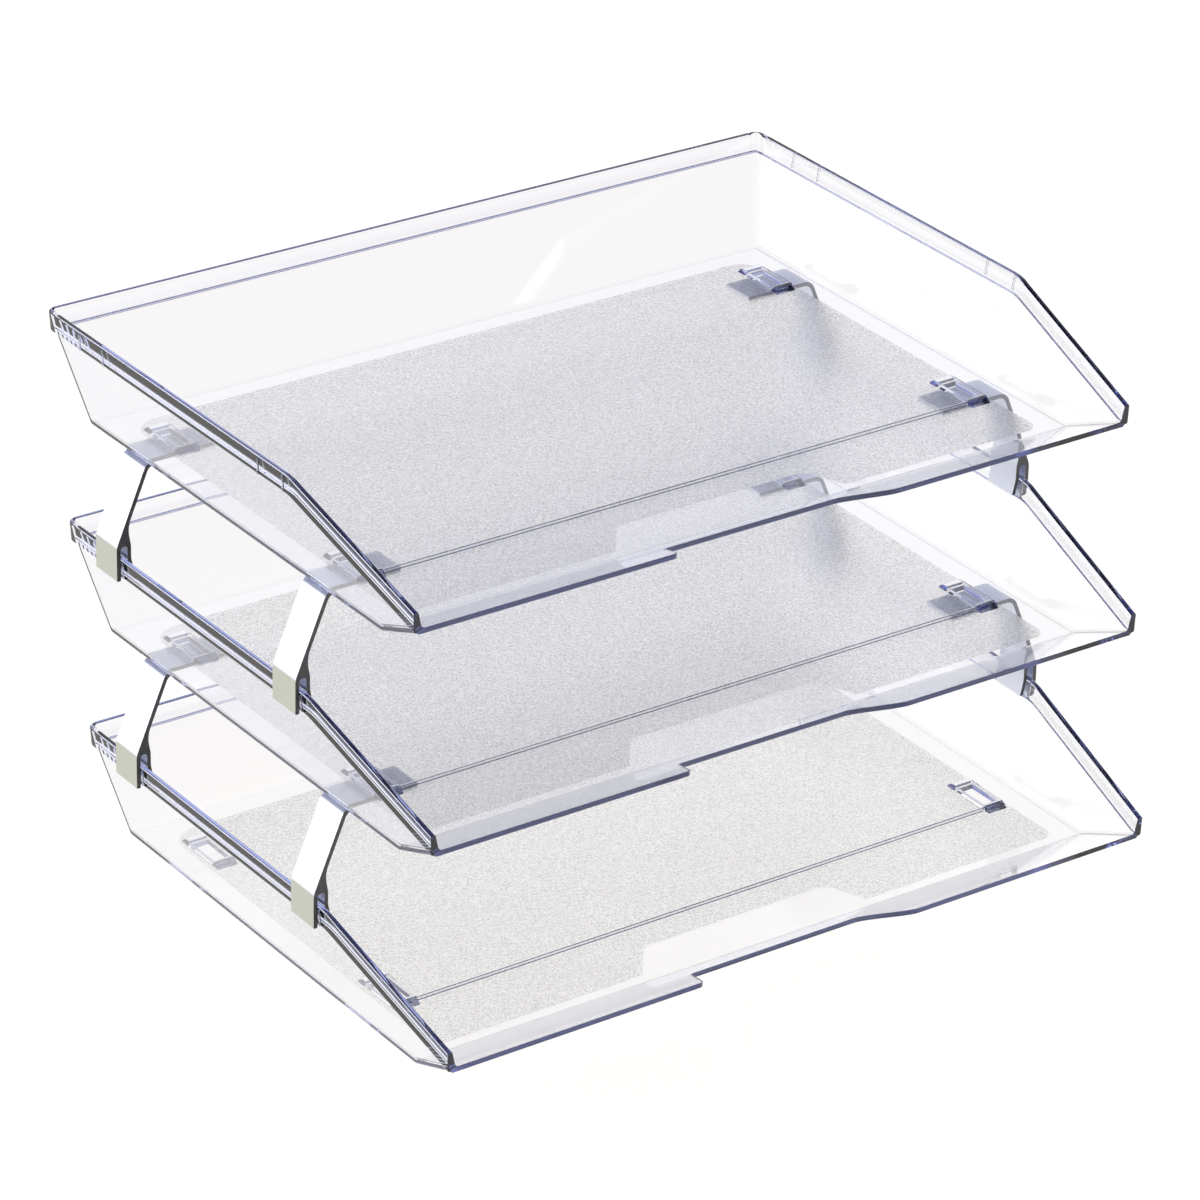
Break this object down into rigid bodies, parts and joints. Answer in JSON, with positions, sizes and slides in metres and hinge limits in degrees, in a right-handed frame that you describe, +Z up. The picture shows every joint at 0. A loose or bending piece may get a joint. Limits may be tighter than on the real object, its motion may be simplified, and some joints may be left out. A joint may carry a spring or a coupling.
{
  "type": "letter tray",
  "caption": "Three-tier side-load letter tray: clear plastic trays stacked on metal risers.",
  "frame": {"origin": "middle of the whole stack's footprint, on the ground", "axes": "+X across the width to the right, -Y towards the open loading front, +Z up"},
  "size_m": [0.3698, 0.295, 0.231],
  "materials": {
    "clear_plastic": "clear polished polystyrene with a frosted floor",
    "riser_metal": "satin"
  },
  "bodies": {
    "bottom_tier": {"tray_bottom": "clear_plastic", "riser_lower_back_left": "riser_metal", "riser_lower_front_left": "riser_metal", "riser_lower_back_right": "riser_metal", "riser_lower_front_right": "riser_metal"},
    "middle_tier": {"tray_middle": "clear_plastic", "riser_upper_back_left": "riser_metal", "riser_upper_front_left": "riser_metal", "riser_upper_back_right": "riser_metal", "riser_upper_front_right": "riser_metal"},
    "top_tier": {"tray_top": "clear_plastic"}
  },
  "joints": [
    {"name": "middle_lift", "type": "slide", "parent": "bottom_tier", "child": "middle_tier", "axis": [0, 0, 1], "range_m": [0, 0.06]},
    {"name": "top_lift", "type": "slide", "parent": "middle_tier", "child": "top_tier", "axis": [0, 0, 1], "range_m": [0, 0.06]}
  ]
}
